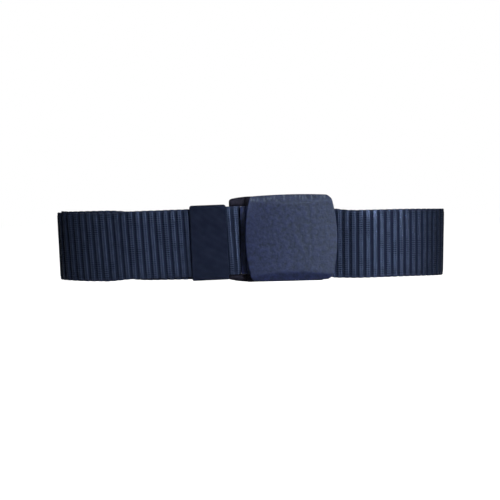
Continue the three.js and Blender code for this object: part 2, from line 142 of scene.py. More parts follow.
def addNode(tree, kind, settings=None, inputs=None):
    node = tree.nodes.new(kind)
    for key, value in (settings or {}).items():
        setattr(node, key, value)
    for key, value in (inputs or {}).items():
        if isinstance(value, bpy.types.NodeSocket):
            tree.links.new(value, node.inputs[key])
        else:
            node.inputs[key].default_value = value
    return node


def maths(tree, operation, a, b=0.0):
    return addNode(tree, "ShaderNodeMath", {"operation": operation}, {0: a, 1: b}).outputs[0]


def ramp(tree, factor, stops):
    node = addNode(tree, "ShaderNodeValToRGB", None, {0: factor})
    elements = node.color_ramp.elements
    while len(elements) < len(stops):
        elements.new(0.5)
    for element, (place, colour) in zip(elements, stops):
        element.position = place
        element.color = (*colour, 1)
    return node.outputs[0]


def grey(value):
    return (value, value, value)


def mixColour(tree, factor, a, b, blend="MIX"):
    node = addNode(tree, "ShaderNodeMix", {"data_type": "RGBA", "blend_type": blend})
    for place, value in ((0, factor), (6, a), (7, b)):
        if isinstance(value, bpy.types.NodeSocket):
            tree.links.new(value, node.inputs[place])
        else:
            node.inputs[place].default_value = (*value, 1) if place else value
    return node.outputs[2]


def noise(tree, place, scale, detail, roughness=0.5):
    return addNode(tree, "ShaderNodeTexNoise", None, {
        "Vector": place, "Scale": scale, "Detail": detail, "Roughness": roughness,
    }).outputs[0]


def scaled(tree, place, scale):
    return addNode(tree, "ShaderNodeMapping", None, {0: place, "Scale": scale}).outputs[0]


def addBump(tree, shader, height, strength, distance):
    bump = addNode(tree, "ShaderNodeBump", None, {
        "Strength": strength, "Distance": distance, "Height": height,
    })
    tree.links.new(bump.outputs[0], shader.inputs["Normal"])


def setShine(shader, level, tint):
    shader.inputs["Specular IOR Level"].default_value = level
    shader.inputs["Specular Tint"].default_value = (*tint, 1)


# Mesh helpers
def skinned(rings, wrapAlong=False, weave=None):
    # One grid whose rows are the rings; its seams are merged and open ends filled
    count = len(rings)
    size = len(rings[0])
    rows = count if wrapAlong else count - 1
    bm = bmesh.new()
    layer = bm.loops.layers.uv.new("weave") if weave else None
    bmesh.ops.create_grid(bm, x_segments=rows, y_segments=size, size=1)
    places = {}
    for vert in bm.verts:
        places[vert] = (round((vert.co.x + 1) / 2 * rows), round((vert.co.y + 1) / 2 * size))
    if weave:
        for face in bm.faces:
            for loop in face.loops:
                loop[layer].uv = weave(*places[loop.vert])
    for vert, (i, j) in places.items():
        vert.co = rings[i % count][j % size]
    bmesh.ops.remove_doubles(bm, verts=bm.verts, dist=1e-6)
    if not wrapAlong:
        rims = [edge for edge in bm.edges if edge.is_boundary]
        bmesh.ops.holes_fill(bm, edges=rims, sides=0)
    bmesh.ops.recalc_face_normals(bm, faces=bm.faces)
    return bm


def newPiece(name, bm, material, body, node):
    mesh = bpy.data.meshes.new(name)
    bm.to_mesh(mesh)
    bm.free()
    piece = bpy.data.objects.new(name, mesh)
    bpy.context.scene.collection.objects.link(piece)
    finishPiece(piece, material, body, node)


def finishPiece(piece, material, body, node, sharpDegrees=None):
    mesh = piece.data
    mesh.polygons.foreach_set("use_smooth", [True] * len(mesh.polygons))
    if sharpDegrees:
        mesh.set_sharp_from_angle(angle=math.radians(sharpDegrees))
    mesh.materials.clear()
    mesh.materials.append(material)
    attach(piece, body)
    if node:
        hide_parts(node)
    print(piece.name, "done,", sum(len(p.vertices) - 2 for p in mesh.polygons), "triangles")


# The strap's plan: stretches of constant curvature, each with a length and a turn
webbing = {
    "width": 38.0,
    "thickness": 1.8,  # over the ribs
    "layerGap": 0.35,
    "yarnPitch": 1.2,
    # Ribs, with small chance differences in place and thickness
    "ribPitch": 3.91,
    "firstRib": 0.49,
    "ribJitter": 0.06,
    "ribUneven": 0.04,
    # Where the strap is folded round the grip bar
    "foldReach": (3, 1),  # before the bar's turn and into the rise after it
    "gripShift": -0.1,  # of the ribs, along the strap
    "gripShiftEase": 18,
    "slotPinch": 0.02,  # off each edge
    "slotPinchEase": 4,
    # How far a groove draws the edges in, how deep it is for that, and how far from the edge it reaches
    "groovePinch": 0.14,
    "groovePinchFull": 0.34,
    "groovePinchReach": (0.3, 2.2),
    "groovePinchEase": 2,
    # Long edges and cut ends
    "edgeRound": 0.45,
    "edgeFlat": 0.8,
    "selvedgeWidth": 1.35,
    "selvedgeBlend": (-0.15, 1.1),
    "selvedgeHalf": 0.66,
    "cutEnd": [(0.0, 0.35), (0.12, 0.62)],  # distance from the end, half thickness
    "cutEndClear": 0.3,
    # The loop seen from above; a corner is arcs of a radius and a turn
    "halfWidthRight": 109.1,
    "halfWidthLeft": 105.75,
    "girth": 880.0,
    "flare": 6.0,
    "shoulderRadius": 170.0,
    "shoulderTurn": 30.0,
    "rightCorner": [(61.0, 45.0), (21.0, 39.0)],
    "leftCorner": [(13.0, 53.0), (36.0, 31.0)],
    "tailPastCorner": 98.0,
    "sewnOverlap": 21.0,
    "gripBar": {"left": -12.0, "right": -7.6, "back": -1.25, "front": -4.05},
    "endBar": {"left": 34.6, "right": 39.0, "back": -1.2, "front": -4.2},
}
halfThick = webbing["thickness"] / 2
layerPitch = webbing["thickness"] + webbing["layerGap"]


class PlanCurve:
    def __init__(self, x, y, headingDegrees):
        self.end = (x, y, math.radians(headingDegrees))
        self.length = 0.0
        self.stretches = []

    def straight(self, length, name):
        self.stretch(length, 0.0, name)

    def arc(self, radius, turnDegrees, name):
        self.stretch(radius * math.radians(abs(turnDegrees)), math.radians(turnDegrees), name)

    def stretch(self, length, turn, name):
        piece = (self.length, length, turn, self.end, name)
        self.stretches.append(piece)
        self.length += length
        self.end = self.pointOn(piece, length)

    def pointOn(self, piece, along):
        start, length, turn, (x, y, heading), name = piece
        bend = turn / length
        if abs(bend) < 1e-9:
            return (x + along * math.cos(heading), y + along * math.sin(heading), heading)
        turned = heading + bend * along
        return (
            x + (math.sin(turned) - math.sin(heading)) / bend,
            y - (math.cos(turned) - math.cos(heading)) / bend,
            turned,
        )

    def at(self, s):
        inside = min(max(s, 0), self.length)
        for piece in reversed(self.stretches):
            if piece[0] <= inside:
                return self.pointOn(piece, s - piece[0])
        return self.pointOn(self.stretches[0], s)

    def named(self, name):
        return next(piece for piece in self.stretches if piece[4] == name)


def cornerSize(arcs, firstDegrees=0.0):
    heading = math.radians(firstDegrees)
    depth = across = 0.0
    for radius, turn in arcs:
        following = heading + math.radians(turn)
        depth += radius * (math.cos(heading) - math.cos(following))
        across += radius * (math.sin(following) - math.sin(heading))
        heading = following
    return depth, across


def strapPlan():
    # Round the end bar, and from its front back to the line of the right front
    endBar, grip = webbing["endBar"], webbing["gripBar"]
    sewnY = 0.05
    barMiddle = (endBar["back"] + endBar["front"]) / 2
    barRound = (endBar["back"] - endBar["front"]) / 2
    bendRadius = barRound + webbing["layerGap"] + halfThick
    barLeft = endBar["left"] + barRound
    barFlat = endBar["right"] - endBar["left"] - 2 * barRound
    rightFront = sewnY - layerPitch
    dive, easeRadius = 30.0, 12.0
    diveTurns = (bendRadius + easeRadius) * (1 - math.cos(math.radians(dive)))
    diveDrop = rightFront - (barMiddle - bendRadius) - diveTurns
    diveLength = diveDrop / math.sin(math.radians(dive))

    # The sides and the back, sized so that the whole way round is the girth
    left, right, flare = webbing["leftCorner"], webbing["rightCorner"], webbing["flare"]
    shoulder, turn = webbing["shoulderRadius"], webbing["shoulderTurn"]
    rightDepth, rightAcross = cornerSize(right)
    leftDepth, leftAcross = cornerSize(left[::-1])
    chord = webbing["halfWidthRight"] + webbing["halfWidthLeft"]
    backTurn = 180 - 2 * flare - 2 * turn
    shoulderAcross = cornerSize([(shoulder, turn)], flare)[0]
    backRadius = (chord / 2 - shoulderAcross) / math.sin(math.radians(backTurn / 2))
    difference = rightDepth + rightFront - leftDepth
    turns = sum(r * math.radians(t) for r, t in [*right, *left, (shoulder, 2 * turn)])
    fixed = turns + backRadius * math.radians(backTurn) + chord - rightAcross - leftAcross
    sideFactor = math.radians(2 * flare) / (2 * math.sin(math.radians(flare)))
    rightChord = ((webbing["girth"] - fixed) / sideFactor - difference) / 2
    rightRadius = rightChord / (2 * math.sin(math.radians(flare)))
    leftRadius = (rightChord + difference) / (2 * math.sin(math.radians(flare)))

    # Round the grip bar, and from its front to the line of the tail
    gripBend = -(grip["back"] + grip["front"]) / 2
    gripRound = (grip["back"] - grip["front"]) / 2
    gripRight = grip["right"] - gripRound
    gripFlat = grip["right"] - grip["left"] - 2 * gripRound
    rise, riseEase = 6.7, 30.0
    riseTurns = (gripBend + riseEase) * (1 - math.cos(math.radians(rise)))
    riseLength = (2 * gripBend - layerPitch - riseTurns) / math.sin(math.radians(rise))

    plan = PlanCurve(barLeft + webbing["sewnOverlap"], sewnY, 180)
    plan.straight(webbing["sewnOverlap"], "sewn end")
    plan.arc(bendRadius, 180, "end bar")
    plan.straight(barFlat, "end bar front")
    plan.arc(bendRadius, dive, "end bar edge")
    plan.straight(diveLength, "dive")
    plan.arc(easeRadius, -dive, "dive ease")
    plan.straight(webbing["halfWidthRight"] - rightAcross - plan.end[0], "right front")
    for radius, cornerTurn in right:
        plan.arc(radius, cornerTurn, "right corner")
    plan.arc(rightRadius, 2 * flare, "right side")
    plan.arc(shoulder, turn, "right shoulder")
    plan.arc(backRadius, backTurn, "back")
    plan.arc(shoulder, turn, "left shoulder")
    plan.arc(leftRadius, 2 * flare, "left side")
    for radius, cornerTurn in left:
        plan.arc(radius, cornerTurn, "left corner")
    plan.straight(gripRight - plan.end[0], "left front")
    plan.arc(gripBend, -180, "grip bar")
    plan.straight(gripFlat, "grip bar front")
    plan.arc(gripBend, -rise, "grip bar edge")
    plan.straight(riseLength, "tail rise")
    plan.arc(riseEase, rise, "tail ease")
    plan.straight(plan.end[0] + webbing["halfWidthLeft"] - leftAcross, "tail front")
    for radius, cornerTurn in left[::-1]:
        plan.arc(radius + layerPitch, -cornerTurn, "tail corner")
    past = webbing["tailPastCorner"]
    plan.stretch(past, -past / (leftRadius + layerPitch), "tail side")
    return plan


# Height of the low edge, outward lean, slant of the ribs and outward bow along the plan:
# place, share of it, low, lean, slant, bow
strapRows = [
    ("sewn end", 0, 0.6, 0, 0, -0.9),
    ("sewn end", 0.8, 2.2, 0, 0, 0),
    ("dive ease", 0, 2.2, 0, 0, 0),
    ("right front", 0, 0.8, 0, 0.6, 0),
    ("right corner", 0, 0.5, 0, 1, 1.1),
    ("right corner", 0.45, 0.5, 0, 1, 0),
    ("right side", 0, 0, 2.2, 0.6, 0),
    ("right shoulder", 0, 0, 1.8, 0, 0),
    ("back", 0.5, 0, 0.6, 0, 0),
    ("left side", 0, 0, 1.5, 0, 0),
    ("left side", 0.3, 0.4, 1.5, 0, 0),
    ("left corner", 0, 3.9, 1.5, 0, 0),
    ("left corner", 0.75, 3.6, 0, 0, -0.9),
    ("left front", 0, 3.6, 0, 0, -0.8),
    ("left front", 0.36, 1.95, 0, 0, 0.3),
    ("left front", 0.62, 1.85, 0, 0, 0),
    ("grip bar", 0, 4.2, 0, 0, 0),
    ("grip bar edge", 0, 4.2, 0, 2.8, 0),
    ("tail front", 0, 3.2, 0, 3, 0),
    ("tail front", 0.42, 3.0, 0, 3, 0),
    ("tail front", 0.6, 2.9, 0, 3, -0.3),
    ("tail corner", 0, 1.9, 0, 3.6, 0.8),
    ("tail corner", 0.25, 2.1, 0, 3.6, 0.9),
    ("tail side", 0, 3.2, -1.5, 3, 0),
    ("tail side", 1, 2.2, -1.5, 1, 0),
]
plan = strapPlan()
rowPlaces = [plan.named(row[0])[0] + row[1] * plan.named(row[0])[1] for row in strapRows]


def strapLay(s):
    # Low edge, lean, slant and bow at a length along the plan, eased between rows
    following = next((i for i, place in enumerate(rowPlaces) if place > s), len(strapRows))
    if following == 0:
        return strapRows[0][2:]
    if following == len(strapRows):
        return strapRows[-1][2:]
    share = smoothStep(s, rowPlaces[following - 1], rowPlaces[following])
    before, after = strapRows[following - 1], strapRows[following]
    return tuple(mix(a, b, share) for a, b in zip(before[2:], after[2:]))


gripStart = plan.named("grip bar")[0]
riseStart = plan.named("tail rise")[0]


def nearGrip(s, ease):
    # 1 where the strap is folded round the grip bar, easing to 0 on both sides
    before, after = webbing["foldReach"]
    entering = smoothStep(s, gripStart - before - ease, gripStart - before)
    return entering * (1 - smoothStep(s, riseStart + after, riseStart + after + ease))


def strapPoint(s, height, side):
    width = webbing["width"]
    slant = math.tan(math.radians(strapLay(s)[2]))
    along = s + slant * (height - width / 2)
    low, lean, ignored, bow = strapLay(along)
    x, y, heading = plan.at(along)
    offset = height * math.tan(math.radians(lean)) + bow + side
    pinch = webbing["slotPinch"] * nearGrip(along, webbing["slotPinchEase"])
    z = low + height * (width - 2 * pinch) / width
    return toScene(x + offset * math.sin(heading), y - offset * math.cos(heading), z)


# One rib about its middle, as places along the strap with its half thickness there:
# two rounded cords side by side, with a flat groove to the next rib
ribProfile = [
    (-1.32, 0.34), (-0.97, 0.82), (-0.63, 0.9), (-0.31, 0.86), (0, 0.8),
    (0.31, 0.86), (0.63, 0.9), (0.97, 0.82), (1.32, 0.34),
]
edgeHeights = [0.0, 0.12, 0.45, 1.0, 1.45, 2.2, 8]
faceHeights = edgeHeights + [webbing["width"] / 2] + [webbing["width"] - h for h in edgeHeights[::-1]]


def ribMiddle(rib):
    s = webbing["firstRib"] + rib * webbing["ribPitch"]
    return s + webbing["gripShift"] * nearGrip(s, webbing["gripShiftEase"])


def strapStations():
    # Places along the plan with the half thickness there: a thin cut end, the ribs, a thin cut end
    chance = random.Random(11)
    jitter, uneven, clear = webbing["ribJitter"], webbing["ribUneven"], webbing["cutEndClear"]
    stations = list(webbing["cutEnd"])
    for rib in range(int(plan.length / webbing["ribPitch"]) + 1):
        middle = ribMiddle(rib) + chance.uniform(-jitter, jitter)
        sunk = chance.uniform(-uneven, 0.0)
        for phase, half in ribProfile:
            s = middle + phase
            if clear < s < plan.length - clear:
                stations.append((s, half + sunk))
    stations += [(plan.length - away, half) for away, half in reversed(webbing["cutEnd"])]
    return stations


def strapSection(half, height):
    # Half thickness over the height: rounded edges, a smooth selvedge, then the ribs
    fromEdge = min(height, webbing["width"] - height)
    rounding = 1 - min(fromEdge / webbing["edgeRound"], 1)
    selvedge = webbing["selvedgeHalf"] * math.sqrt(1 - rounding ** 2 * webbing["edgeFlat"])
    blendStart, blendEnd = [webbing["selvedgeWidth"] + away for away in webbing["selvedgeBlend"]]
    ribbed = smoothStep(fromEdge, blendStart, blendEnd)
    return mix(min(selvedge, half), half, ribbed)


def strapMesh():
    stations = strapStations()
    heights = faceHeights + faceHeights[::-1]
    sides = [1] * len(faceHeights) + [-1] * len(faceHeights)
    width = webbing["width"]
    rings = []
    for s, half in stations:
        # Each groove draws the two edges in a little, except where the strap is folded
        grooved = smoothStep(halfThick - half, 0.0, webbing["groovePinchFull"])
        pinch = webbing["groovePinch"] * grooved * (1 - nearGrip(s, webbing["groovePinchEase"]))
        ring = []
        for height, side in zip(heights, sides):
            fromEdge = min(height, width - height)
            inward = pinch * (1 - smoothStep(fromEdge, *webbing["groovePinchReach"]))
            eased = height + (inward if height < width / 2 else -inward)
            ring.append(strapPoint(s, eased, side * strapSection(half, height)))
        rings.append(ring)

    def weave(i, j):
        # Counted from the first rib's middle, with the shift at the grip bar taken out
        s = stations[i][0]
        shift = webbing["gripShift"] * nearGrip(s, webbing["gripShiftEase"])
        return ((s - webbing["firstRib"] - shift) * mm, heights[j % len(heights)] * mm)

    return skinned(rings, weave=weave)


# The yarns are dark: most of the tone is the shine on the cords. The grooves are painted darker still:
# painted shade in the recesses between the ribs
webbingLook = {
    # painted shade: the colour given to the grooves between the ribs
    "groove": (0.0003, 0.0008, 0.004),
    "yarnGap": (0.0006, 0.0014, 0.005),
    "yarn": (0.0075, 0.012, 0.0235),
    "selvedgeDark": (0.002, 0.003, 0.008),
    "selvedgeLight": (0.0055, 0.008, 0.018),
    "selvedgeFrom": (0.905, 0.925),  # shares of the half width
    "twillPitch": 1.3,
    "fibreScale": (160, 5200, 1),
    "patchScale": (120, 90, 1),
    "bump": 0.7,
    "roughGroove": 1.0,
    "roughYarn": 0.18,
    "shine": 0.95,
    "shineTint": (0.4, 0.55, 1.0),
}


def webbingCloth():
    # Nylon yarns: two cords over each rib, the grooves between painted dark as shade, a plain twilled
    # selvedge
    look = webbingLook
    material, tree, shader = newMaterial("webbing cloth")
    uv = addNode(tree, "ShaderNodeUVMap", {"uv_map": "weave"}).outputs[0]
    parts = addNode(tree, "ShaderNodeSeparateXYZ", None, {0: uv}).outputs
    along, across = parts[0], parts[1]
    ribCount = maths(tree, "DIVIDE", along, webbing["ribPitch"] * mm)
    phase = maths(tree, "FRACT", maths(tree, "ADD", ribCount, 0.5))
    # From the middle of a groove to the middle of a rib, and the same back again
    rising = [(0.0, 0.0), (0.2, 0.0), (0.25, 0.45), (0.3, 0.95), (0.35, 1.0), (0.41, 0.7), (0.5, 0.3)]
    falling = [(1 - place, value) for place, value in rising[-2::-1]]
    cords = ramp(tree, phase, [(place, grey(value)) for place, value in rising + falling])
    yarns = maths(tree, "DIVIDE", across, webbing["yarnPitch"] * mm)
    wave = maths(tree, "SINE", maths(tree, "MULTIPLY", yarns, 2 * math.pi))
    fibre = noise(tree, scaled(tree, uv, look["fibreScale"]), 1.0, 3.0, 0.6)
    patch = noise(tree, scaled(tree, uv, look["patchScale"]), 1.0, 2.0)
    # The yarns show as small rungs between the cords, in some places more than in others
    rungs = ramp(tree, patch, [(0.38, grey(0.03)), (0.6, grey(0.48))])
    sunk = maths(tree, "MULTIPLY", maths(tree, "SUBTRACT", 1.0, wave), rungs)
    tick = maths(tree, "SUBTRACT", 1.0, sunk)
    edge = maths(tree, "ABSOLUTE", maths(tree, "SUBTRACT", across, webbing["width"] / 2 * mm))
    ribbedTo, plainFrom = look["selvedgeFrom"]
    plain = ramp(tree, maths(tree, "DIVIDE", edge, webbing["width"] / 2 * mm), [
        (0.0, grey(0.0)), (ribbedTo, grey(0.0)), (plainFrom, grey(1.0)), (1.0, grey(1.0)),
    ])
    twillTurn = 2 * math.pi / (look["twillPitch"] * mm)
    twill = maths(tree, "SINE", maths(tree, "MULTIPLY", maths(tree, "ADD", along, across), twillTurn))
    selvedge = ramp(tree, twill, [(0.0, look["selvedgeDark"]), (1.0, look["selvedgeLight"])])
    lit = mixColour(tree, tick, look["yarnGap"], look["yarn"])
    # The grooves take the painted shade colour and the cords take the yarn colour
    ribs = mixColour(tree, cords, look["groove"], lit)
    cloth = mixColour(tree, plain, ribs, selvedge)
    faded = mixColour(tree, patch, grey(0.88), grey(1.12))
    streaked = mixColour(tree, fibre, grey(0.8), grey(1.2))
    coloured = mixColour(tree, 1.0, cloth, faded, "MULTIPLY")
    coloured = mixColour(tree, 1.0, coloured, streaked, "MULTIPLY")
    tree.links.new(coloured, shader.inputs["Base Color"])
    height = maths(tree, "ADD", tick, maths(tree, "MULTIPLY", fibre, 0.5))
    addBump(tree, shader, height, look["bump"], 0.0002)
    rough = ramp(tree, maths(tree, "MULTIPLY", cords, tick), [
        (0.0, grey(look["roughGroove"])), (1.0, grey(look["roughYarn"])),
    ])
    tree.links.new(rough, shader.inputs["Roughness"])
    setShine(shader, look["shine"], look["shineTint"])
    return material


webbingFinish = webbingCloth()
newPiece("webbing", strapMesh(), webbingFinish, "belt", "webbing_strap")


# Stitches through both layers near the sewn end, in the grooves of the outer layer
stitches = {
    "rowsNearX": [50.6, 54.6],  # each row goes into the groove nearest to its place
    "length": 2.3,
    "pitch": 3.0,
    "radius": 0.24,
    "firstHeight": 2.6,
    "outerOut": 0.45,  # how far the middle of a thread lies from the middle of its layer
    "innerOut": 0.95,
    "endSink": 0.8,  # share of the radius by which a stitch dips at its ends
    "dark": (0.001, 0.002, 0.006),
    "light": (0.004, 0.006, 0.014),
    "roughness": 0.8,
    "shine": 0.3,
    "shineTint": (0.4, 0.55, 1.0),
}


def stitchMesh():
    bm = bmesh.new()
    front, sewn = plan.named("right front"), plan.named("sewn end")
    count = int((webbing["width"] - 2 * stitches["firstHeight"]) / stitches["pitch"]) + 1
    for x in stitches["rowsNearX"]:
        outer = front[0] + x - front[3][0]
        rib = round((outer - webbing["firstRib"]) / webbing["ribPitch"] - 0.5)
        outer = ribMiddle(rib + 0.5)
        inner = sewn[3][0] - (front[3][0] + outer - front[0])
        for s, out in ((outer, stitches["outerOut"]), (inner, stitches["innerOut"])):
            for k in range(count):
                height = stitches["firstHeight"] + k * stitches["pitch"]
                made = bmesh.ops.create_uvsphere(bm, u_segments=8, v_segments=6, radius=1)
                for vert in made["verts"]:
                    rise = vert.co.z * stitches["length"] / 2
                    sink = stitches["radius"] * abs(vert.co.z) ** 3 * stitches["endSink"]
                    vert.co = strapPoint(
                        s + vert.co.x * stitches["radius"],
                        height + rise + stitches["length"] / 2,
                        out - sink + vert.co.y * stitches["radius"],
                    )
    bmesh.ops.recalc_face_normals(bm, faces=bm.faces)
    return bm


def threadMaterial():
    material, tree, shader = newMaterial("navy thread")
    place = addNode(tree, "ShaderNodeTexCoord").outputs["Object"]
    twist = addNode(tree, "ShaderNodeTexWave", {"bands_direction": "DIAGONAL"}, {
        "Vector": place, "Scale": 700.0, "Distortion": 1.0,
    }).outputs[0]
    colour = mixColour(tree, twist, stitches["dark"], stitches["light"])
    tree.links.new(colour, shader.inputs["Base Color"])
    addBump(tree, shader, twist, 0.5, 0.0001)
    shader.inputs["Roughness"].default_value = stitches["roughness"]
    setShine(shader, stitches["shine"], stitches["shineTint"])
    return material


threadFinish = threadMaterial()
newPiece("sewn_end_stitches", stitchMesh(), threadFinish, "belt", None)


# Keeper: a narrow woven band closed round both layers
keeper = {
    "left": -33.6,
    "right": -13.25,
    "wall": 1.0,
    "cornerRadius": 1.6,
    "cornerRings": 2.2,  # rings in a corner, against those on a flat stretch as long
    "depth": 6.5,  # from front to back, for the count of ribs
    "ribPitch": 0.62,
    "ribDepth": 0.15,
    "yarnPitch": 0.55,
    "lowLeft": 2.1,
    "highLeft": 42.1,
    "lowRight": 2.6,
    "highRight": 42.3,
    "lean": 0.5,
    "crown": 0.12,
    # How far each corner is drawn in, and over what height
    "tucks": {
        "highLeft": (1.3, 1.6),
        "highRight": (1.2, 1.7),
        "lowLeft": (0.3, 0.5),
        "lowRight": (0.2, 0.4),
    },
    "dark": (0.001, 0.003, 0.0115),
    "light": (0.0125, 0.0165, 0.034),
    "ribShade": (0.3, 1.9),
    "roughness": 0.85,
    "shine": 0.25,
    "shineTint": (0.45, 0.6, 1.0),
}


def planYAtX(x, fromS, toS):
    rising = plan.at(toS)[0] > plan.at(fromS)[0]
    for ignored in range(40):
        middle = (fromS + toS) / 2
        if (plan.at(middle)[0] < x) == rising:
            fromS = middle
        else:
            toS = middle
    return plan.at(fromS)[1]


def keeperPath(sides, around, out):
    # A point of the keeper's round-cornered path, counted as it runs up the front,
    # over the top, down the back and under the low edge; returns Y, Z
    front, back, low, high = sides
    inner = keeper["cornerRadius"] - keeper["wall"]
    corner = inner * math.pi / 2 * keeper["cornerRings"]
    rise, run = high - low - 2 * inner, back - front - 2 * inner
    lengths = [rise, corner, run, corner, rise, corner, run, corner]
    place = around * sum(lengths)
    stretch = 0
    while stretch < 7 and place > lengths[stretch]:
        place -= lengths[stretch]
        stretch += 1
    share = min(place / lengths[stretch], 1)
    centres = [
        (front + inner, low + inner),
        (front + inner, high - inner),
        (back - inner, high - inner),
        (back - inner, low + inner),
    ]
    side = stretch // 2
    angle = math.radians(180 - 90 * side)
    start, end = centres[side], centres[(side + 1) % 4]
    if stretch % 2 == 0:
        y, z = mix(start[0], end[0], share), mix(start[1], end[1], share)
        bow = keeper["crown"] * math.sin(math.pi * share) if side == 0 else 0
        radius = inner + out + (bow if out > 0 else 0)
    else:
        y, z = end
        angle -= math.pi / 2 * share
        radius = inner + out
    return y + radius * math.cos(angle), z + radius * math.sin(angle)


def keeperMesh():
    tailFrom, tailTo = plan.named("grip bar edge")[0], plan.named("tail corner")[0]
    halfBand = halfThick + webbing["layerGap"]
    wall = keeper["wall"]
    # Across the band: outer face, rounded edge, inner face, rounded edge, each point with its
    # share of the wall
    section = [(0.0, 0.72), (0.16, 0.94), (0.5, 1.0), (1.2, 1.0), (5, 1.0), (10.65, 1.0)]
    width = keeper["right"] - keeper["left"]
    outer = section + [(width - a, b) for a, b in section[-2::-1]]
    inner = [(width, 0.28), (width - 0.16, 0.05), (width - 0.6, 0.0), (width / 2, 0.0)]
    inner += [(0.6, 0.0), (0.16, 0.05), (0.0, 0.28)]
    band = outer + inner
    perimeter = 2 * (keeper["highLeft"] - keeper["lowLeft"]) + 2 * keeper["depth"]
    ringsPerRib = 4
    steps = round(perimeter / keeper["ribPitch"]) * ringsPerRib
    columns = []
    for across, out in band:
        x = keeper["left"] + across
        share = across / width
        sides = (
            planYAtX(x, tailFrom, tailTo) - halfBand,
            halfBand,
            mix(keeper["lowLeft"], keeper["lowRight"], share),
            mix(keeper["highLeft"], keeper["highRight"], share),
        )
        columns.append((x, sides, out))
    rings = []
    for step in range(steps):
        around = step / steps
        rib = 0.5 + 0.5 * math.cos(2 * math.pi * step / ringsPerRib)
        ring = []
        for x, sides, out in columns:
            dip = keeper["ribDepth"] * (1 - rib) if out > 0.9 else 0
            y, z = keeperPath(sides, around, out * wall - dip)
            half = "high" if z > (sides[2] + sides[3]) / 2 else "low"
            fromFold = min(z - sides[2], sides[3] - z) + wall
            share = (x - keeper["left"]) / width
            tuckLeft, tuckRight = [
                depth * (1 - math.sqrt(1 - max(1 - fromFold / reach, 0) ** 2))
                for depth, reach in (keeper["tucks"][half + "Left"], keeper["tucks"][half + "Right"])
            ]
            leaning = keeper["lean"] * (1 - 2 * (z - sides[2]) / (sides[3] - sides[2]))
            ring.append(toScene(x + tuckLeft * (1 - share) - tuckRight * share + leaning, y, z))
        rings.append(ring)

    def weave(i, j):
        across = band[j % len(band)][0]
        return (i / steps * perimeter * mm, across * mm)

    return skinned(rings, wrapAlong=True, weave=weave)


def keeperCloth():
    material, tree, shader = newMaterial("keeper cloth")
    uv = addNode(tree, "ShaderNodeUVMap", {"uv_map": "weave"}).outputs[0]
    parts = addNode(tree, "ShaderNodeSeparateXYZ", None, {0: uv}).outputs
    ribTurn = 2 * math.pi / (keeper["ribPitch"] * mm)
    yarnTurn = 2 * math.pi / (keeper["yarnPitch"] * mm)
    rib = maths(tree, "SINE", maths(tree, "MULTIPLY", parts[0], ribTurn))
    yarn = maths(tree, "SINE", maths(tree, "MULTIPLY", parts[1], yarnTurn))
    fibre = noise(tree, uv, 2600.0, 3.0, 0.6)
    patch = noise(tree, uv, 160.0, 2.0)
    low, high = keeper["ribShade"]
    ribShade = ramp(tree, maths(tree, "MULTIPLY", rib, 0.5), [(0.0, grey(low)), (0.5, grey(high))])
    tone = mixColour(tree, patch, keeper["dark"], keeper["light"])
    tone = mixColour(tree, 1.0, tone, ribShade, "MULTIPLY")
    tone = mixColour(tree, 1.0, tone, mixColour(tree, fibre, grey(0.75), grey(1.25)), "MULTIPLY")
    tree.links.new(tone, shader.inputs["Base Color"])
    height = maths(tree, "ADD", maths(tree, "MULTIPLY", yarn, 0.5), fibre)
    addBump(tree, shader, height, 0.6, 0.0001)
    shader.inputs["Roughness"].default_value = keeper["roughness"]
    setShine(shader, keeper["shine"], keeper["shineTint"])
    return material


keeperFinish = keeperCloth()
newPiece("keeper", keeperMesh(), keeperFinish, "belt", "keeper_loop")


# Moulded plastic: fine spark-eroded grain, a little cloudy; above a height it may have paler strokes,
# partly scuffs and partly a painted highlight along the top edge
# Paler strokes along the top edge: scuffs, and a painted highlight where the light from above falls
scuffAndSheen = {
    "fadeOver": 2.0,
    "strokeScale": (850, 300, 300),
    "strokesFrom": 0.5,
    "strokesFull": 0.68,
    "colour": (0.05, 0.062, 0.1),
}


def mouldedPlastic(name, dark, light, grain, roughness, shine, shineTint, scuffAndSheenFrom=None):
    material, tree, shader = newMaterial(name)
    place = addNode(tree, "ShaderNodeTexCoord").outputs["Object"]
    coarse = noise(tree, place, 900.0, 4.0, 0.65)
    fine = noise(tree, place, 3000.0, 2.0, 0.6)
    mottle = noise(tree, place, 420.0, 2.0)
    cloud = noise(tree, place, 90.0, 2.0)
    grains = maths(tree, "MULTIPLY", maths(tree, "ADD", coarse, mottle), 0.5)
    speck = ramp(tree, grains, [(0.38, grey(0.0)), (0.62, grey(1.0))])
    tone = mixColour(tree, speck, dark, light)
    tone = mixColour(tree, 1.0, tone, mixColour(tree, cloud, grey(0.9), grey(1.1)), "MULTIPLY")
    # Paler strokes towards the top edge: scuffs, and painted highlight on the top bevel
    if scuffAndSheenFrom:
        rise = addNode(tree, "ShaderNodeSeparateXYZ", None, {0: place}).outputs[2]
        above = maths(tree, "SUBTRACT", rise, scuffAndSheenFrom * mm)
        faded = maths(tree, "MULTIPLY", above, 1 / (scuffAndSheen["fadeOver"] * mm))
        nearEdge = ramp(tree, faded, [(0.0, grey(0.0)), (1.0, grey(1.0))])
        strokes = noise(tree, scaled(tree, place, scuffAndSheen["strokeScale"]), 1.0, 3.0)
        strong = ramp(tree, strokes, [
            (scuffAndSheen["strokesFrom"], grey(0.0)), (scuffAndSheen["strokesFull"], grey(1.0)),
        ])
        tone = mixColour(tree, maths(tree, "MULTIPLY", strong, nearEdge), tone, scuffAndSheen["colour"])
    tree.links.new(tone, shader.inputs["Base Color"])
    height = maths(tree, "ADD", coarse, maths(tree, "MULTIPLY", fine, 0.6))
    height = maths(tree, "ADD", height, maths(tree, "MULTIPLY", mottle, 2.0))
    addBump(tree, shader, height, grain, 0.0001)
    rough = ramp(tree, fine, [(0.3, grey(roughness - 0.06)), (0.7, grey(roughness + 0.06))])
    tree.links.new(rough, shader.inputs["Roughness"])
    setShine(shader, shine, shineTint)
    return material


